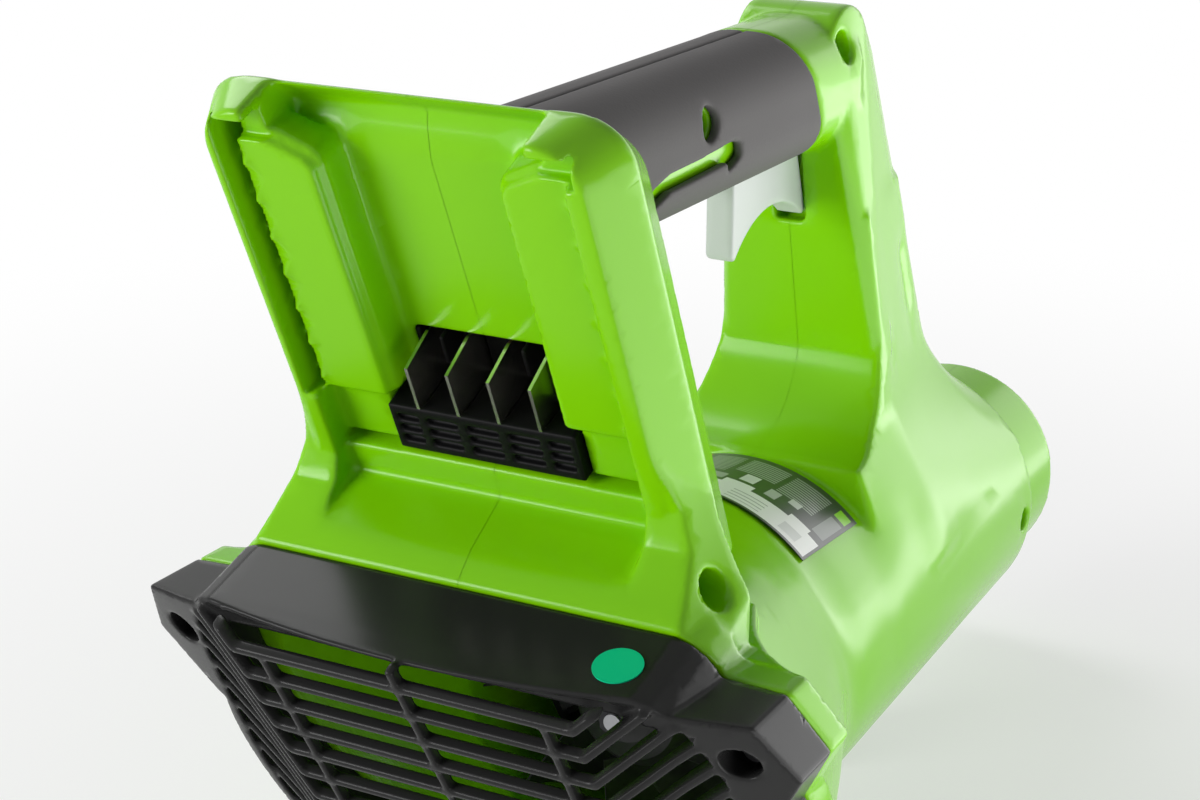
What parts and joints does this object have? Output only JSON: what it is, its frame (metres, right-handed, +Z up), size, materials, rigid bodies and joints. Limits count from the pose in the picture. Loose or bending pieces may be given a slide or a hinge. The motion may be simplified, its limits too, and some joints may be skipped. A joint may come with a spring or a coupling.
{
  "type": "leaf blower",
  "caption": "Handheld axial leaf blower body with a nested-bar intake grille, slide-in battery bay, rubber grip, lever trigger and a round collar for a blow tube.",
  "frame": {"origin": "centre of the outlet mouth, on the axis of the blow tube's socket", "axes": "+X the way the air leaves, +Y the user's left, +Z up"},
  "size_m": [0.3631, 0.1694, 0.2514],
  "materials": {
    "housing_green": "glossy injection-moulded lime green",
    "cover_dark": "glossy injection-moulded dark grey",
    "grip_rubber": "matt overmoulded soft rubber",
    "trigger_grey": "satin light grey",
    "steel": "zinc-plated",
    "black_plastic": "fine matt",
    "plunger_red": "plain",
    "contact_metal": "tin-plated contact metal",
    "board_green": "lacquered circuit board",
    "capacitor_can": "sleeved can",
    "wire_red": "insulated wire",
    "wire_black": "insulated wire",
    "motor_steel": "rolled steel can",
    "fan_black": "glass-filled plastic",
    "damper_rubber": "soft",
    "label_face": null,
    "sticker_teal": "plain paper sticker"
  },
  "bodies": {
    "housing": {"left_housing": "housing_green", "right_housing": "housing_green", "rear_grille": "cover_dark", "grille_screws": "steel", "left_grip": "grip_rubber", "right_grip": "grip_rubber", "trigger_pin": "steel", "trigger_spring": "steel", "switch_body": "black_plastic", "terminal_block": "black_plastic", "terminal_blades": "contact_metal", "controller_board": "board_green", "board_capacitor": "capacitor_can", "battery_leads": "wire_red", "motor_leads": "wire_black", "motor_can": "motor_steel", "rear_bearing": "steel", "front_bearing": "steel", "guide_vanes": "fan_black", "tail_cone": "fan_black", "motor_damper": "damper_rubber", "housing_screws": "steel", "rating_label": "label_face", "inspection_dot": "sticker_teal"},
    "trigger": {"trigger": "trigger_grey"},
    "plunger": {"switch_plunger": "plunger_red"},
    "fan": {"motor_shaft": "steel", "fan_impeller": "fan_black", "impeller_nut": "steel"}
  },
  "joints": [
    {"name": "trigger_pull", "type": "hinge", "parent": "housing", "child": "trigger", "pos_m": [-0.163, 0, 0.147], "axis": [0, 1, 0], "range_deg": [0, 12], "stiffness_Nm_per_rad": 0.3, "springref_deg": -11.46},
    {"name": "plunger_slide", "type": "slide", "parent": "housing", "child": "plunger", "axis": [0, 0, 1], "range_m": [0, 0.005], "stiffness_N_per_m": 20, "springref_m": -0.002, "deforming": ["trigger_spring"]},
    {"name": "fan_spin", "type": "hinge", "parent": "housing", "child": "fan", "pos_m": [-0.24, 0, 0.0105], "axis": [1, 0, 0], "continuous": true}
  ],
  "couplings": [
    {"joint": "plunger_slide", "follows": "trigger_pull", "m_per_rad": 0.023}
  ]
}
